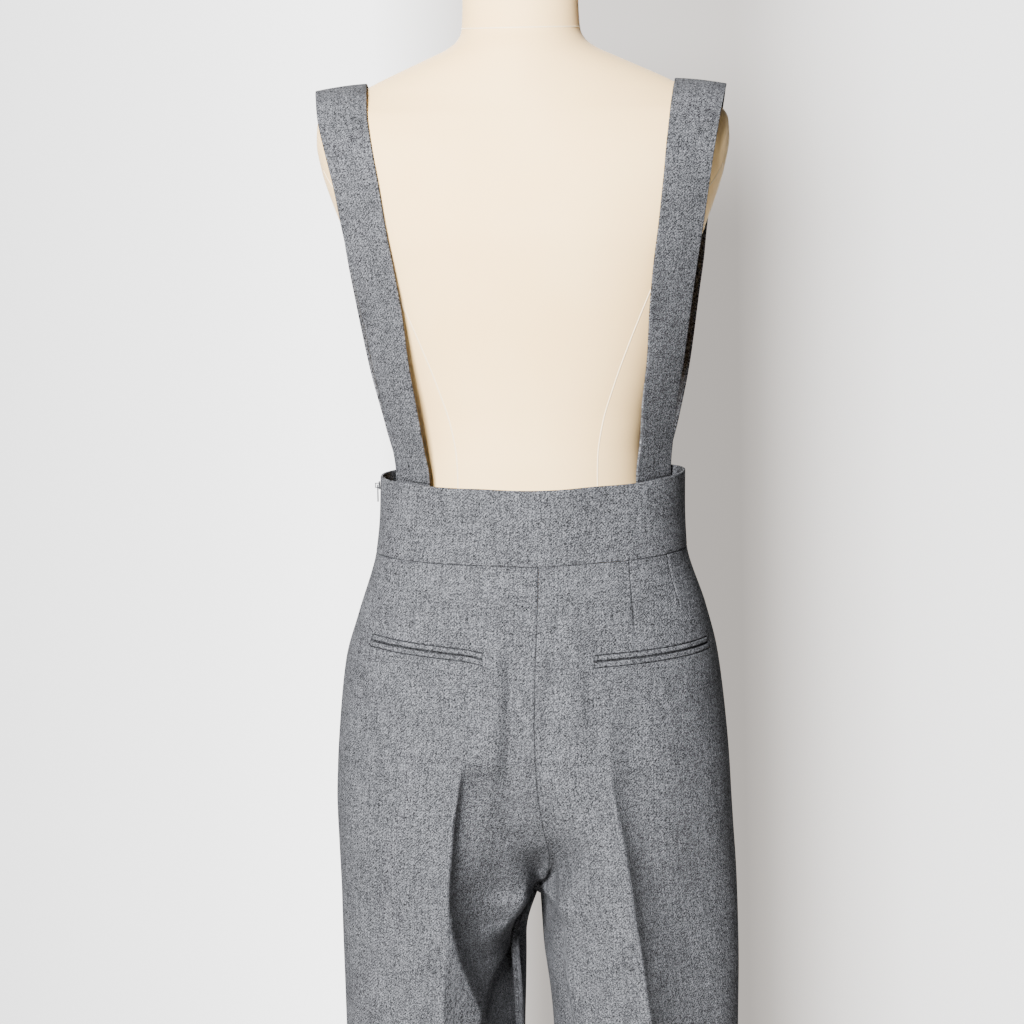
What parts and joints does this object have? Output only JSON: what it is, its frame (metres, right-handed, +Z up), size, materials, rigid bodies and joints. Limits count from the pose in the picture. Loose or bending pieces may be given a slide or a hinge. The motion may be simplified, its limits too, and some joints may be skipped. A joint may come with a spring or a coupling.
{
  "type": "suspender trousers on dress form",
  "caption": "High-waisted wide-leg wool trousers with shoulder straps, welt pockets, pressed creases and a side zip, worn by a limbless dress form on a round-base stand.",
  "frame": {"origin": "on the floor, under the middle of the stand's round base", "axes": "+Z up, the garment faces -Y, +X to the wearer's left"},
  "size_m": [0.38, 0.38, 1.6023],
  "materials": {
    "wool": "matte heather grey wool twill",
    "form_cloth": "smooth stretched ivory cloth",
    "zip_metal": "grey plated, satin",
    "cap_plastic": "satin moulded",
    "stand_paint": "satin white paint"
  },
  "bodies": {
    "garment_on_form": {"back_panel_left": "wool", "back_panel_right": "wool", "front_panel_left": "wool", "front_panel_right": "wool", "waistband_back": "wool", "waistband_front": "wool", "strap_left": "wool", "strap_right": "wool", "pocket_welt_upper_left": "wool", "pocket_welt_lower_left": "wool", "pocket_welt_upper_right": "wool", "pocket_welt_lower_right": "wool", "zip_slider": "zip_metal", "dress_form": "form_cloth", "neck_cap": "cap_plastic", "stand_base": "stand_paint", "stand_pole": "stand_paint"},
    "zip_pull": {"zip_pull": "zip_metal"}
  },
  "joints": [
    {"name": "zip_pull_hinge", "type": "hinge", "parent": "garment_on_form", "child": "zip_pull", "pos_m": [0.136, 0.007, 1.137], "axis": [0, -1, 0], "range_deg": [0, 170]}
  ]
}
